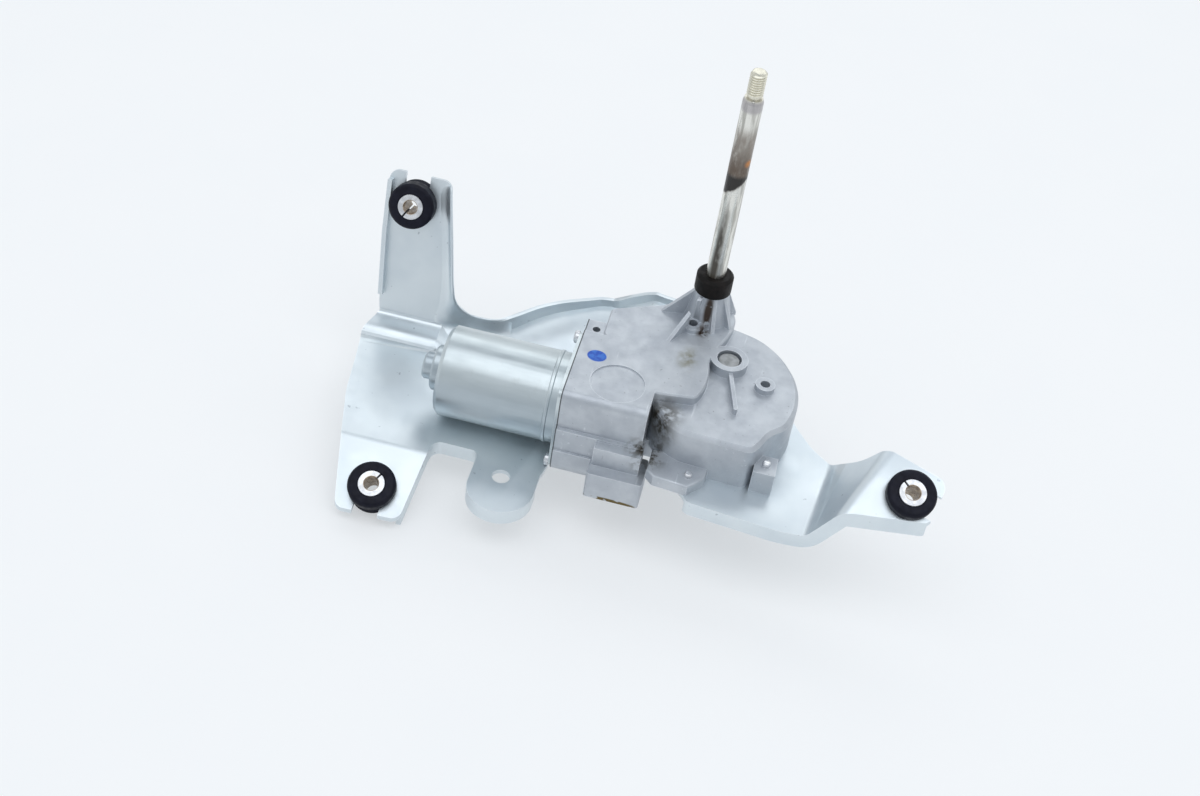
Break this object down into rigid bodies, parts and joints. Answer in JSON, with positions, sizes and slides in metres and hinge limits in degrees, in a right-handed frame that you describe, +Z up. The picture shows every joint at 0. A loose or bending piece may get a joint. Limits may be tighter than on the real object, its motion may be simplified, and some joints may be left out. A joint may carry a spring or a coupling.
{
  "type": "wiper motor",
  "caption": "Rear wiper motor: cylindrical motor and die-cast gear case on a three-legged pressed bracket, with a long upright output shaft.",
  "frame": {"origin": "on the output shaft's axis at the shoulder that the wiper arm bears on", "axes": "+Z up the output shaft toward its threaded tip, +X along the motor from its yoke to the gear case, +Y away from the connector"},
  "size_m": [0.305, 0.1802, 0.2184],
  "materials": {
    "zinc_steel": "bluish zinc plating on pressed steel",
    "yoke_zinc": "satin zinc plating on deep-drawn steel",
    "cast_aluminium": "rough die-cast aluminium",
    "bright_steel": "ground steel",
    "screw_steel": "zinc-plated screws",
    "black_rubber": "matte black rubber",
    "cap_rubber": "dark brown-black rubber",
    "sintered_bronze": "oil-filled sintered bronze",
    "copper": "enamelled copper wire",
    "core_iron": "stacked iron laminations",
    "ferrite": "grey-black ferrite",
    "white_plastic": "greased acetal",
    "dark_plastic": "black moulded plastic",
    "carbon": "carbon brush",
    "brass_contact": "plain brass"
  },
  "bodies": {
    "base": {"bracket": "zinc_steel", "grommet_rear_left": "black_rubber", "grommet_front_left": "black_rubber", "grommet_right": "black_rubber", "sleeve_rear_left": "screw_steel", "sleeve_front_left": "screw_steel", "sleeve_right": "screw_steel", "yoke": "yoke_zinc", "gear_housing": "cast_aluminium", "flange_screws": "screw_steel", "bracket_screws": "screw_steel", "shaft_cap": "cap_rubber", "shaft_seal": "black_rubber", "tower_bush_lower": "sintered_bronze", "tower_bush_upper": "sintered_bronze", "shaft_washer": "screw_steel", "wheel_axle": "bright_steel", "wheel_clip": "bright_steel", "wheel_washer": "screw_steel", "gear_cover": "zinc_steel", "cover_screws": "screw_steel", "magnet_upper": "ferrite", "magnet_lower": "ferrite", "yoke_bearing": "sintered_bronze", "thrust_ball": "bright_steel", "worm_bearing": "sintered_bronze", "worm_tip_bearing": "sintered_bronze", "thrust_pad": "white_plastic", "brush_plate": "dark_plastic", "brush_holders": "brass_contact", "brushes": "carbon", "brush_springs": "bright_steel", "choke_coils": "copper", "park_contacts": "brass_contact", "connector_socket": "dark_plastic", "connector_terminals": "brass_contact"},
    "output": {"output_shaft": "bright_steel", "output_lever": "zinc_steel", "lever_pin": "bright_steel", "shaft_clip": "bright_steel"},
    "rod": {"connecting_rod": "zinc_steel"},
    "wheel": {"worm_wheel": "white_plastic", "crank_pin": "bright_steel", "park_disc": "brass_contact"},
    "armature": {"armature_shaft": "bright_steel", "armature_core": "core_iron", "armature_windings": "copper", "commutator": "copper"}
  },
  "joints": [
    {"name": "wheel_spin", "type": "hinge", "parent": "base", "child": "wheel", "pos_m": [0.0167, -0.0301, -0.1554], "axis": [0, 0, 1], "continuous": true},
    {"name": "armature_spin", "type": "hinge", "parent": "base", "child": "armature", "pos_m": [0, -0.0598, -0.1554], "axis": [1, 0, 0], "continuous": true},
    {"name": "output_swing", "type": "hinge", "parent": "base", "child": "output", "pos_m": [0, 0, 0], "axis": [0, 0, 1], "range_deg": [0, 91.01]},
    {"name": "rod_pivot", "type": "hinge", "parent": "output", "child": "rod", "pos_m": [-0.015, -0.00034, -0.1647], "axis": [0, 0, 1], "range_deg": [-91.01, 0]}
  ],
  "couplings": [
    {"joint": "armature_spin", "follows": "wheel_spin", "ratio": -40},
    {"joint": "rod_pivot", "follows": "output_swing", "ratio": -1}
  ]
}
